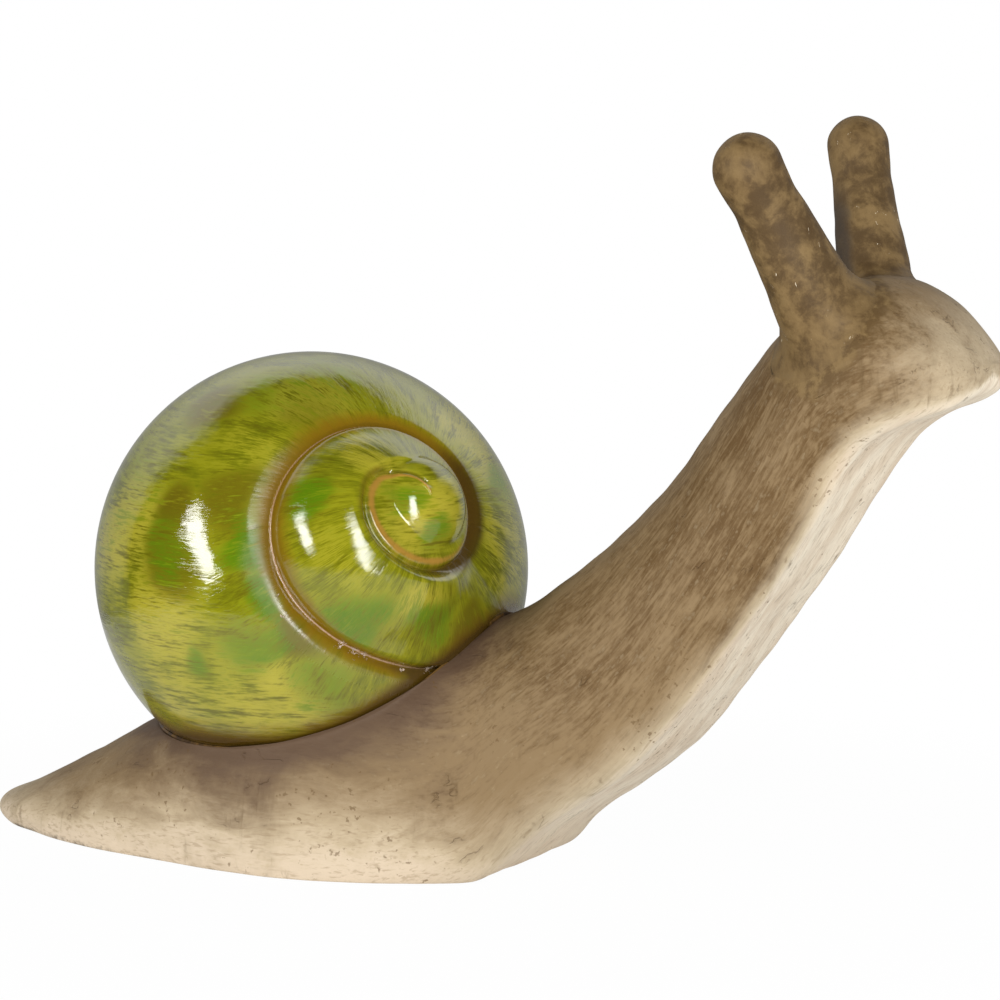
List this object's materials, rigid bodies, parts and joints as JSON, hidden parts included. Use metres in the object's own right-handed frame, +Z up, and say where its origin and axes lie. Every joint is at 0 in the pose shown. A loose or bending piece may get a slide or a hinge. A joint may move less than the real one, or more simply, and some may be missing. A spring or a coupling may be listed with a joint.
{
  "type": "snail figurine",
  "caption": "Free-standing ceramic snail garden ornament: long raised neck, glossy globe shell with a spiral on its right side, two upright tentacles, flat sole.",
  "frame": {"origin": "on the ground, under the middle of the figure's bounding box", "axes": "+X from tail to head, +Y to the snail's left, +Z up"},
  "size_m": [0.3581, 0.1416, 0.2422],
  "materials": {
    "body_clay": "matt brushed wash over pale clay",
    "shell_glaze": "high gloss glaze, streaky green and yellow over amber",
    "bedding_slip": "dark brown slip",
    "tentacle_clay": "matt brown wash with pale chips",
    "joint_slip": "matt brown slip, lumpy"
  },
  "bodies": {
    "root": {"body": "body_clay", "shell": "shell_glaze", "shell_bedding": "bedding_slip", "tentacle_right": "tentacle_clay", "tentacle_left": "tentacle_clay", "tentacle_joint_right": "joint_slip", "tentacle_joint_left": "joint_slip"}
  },
  "joints": []
}
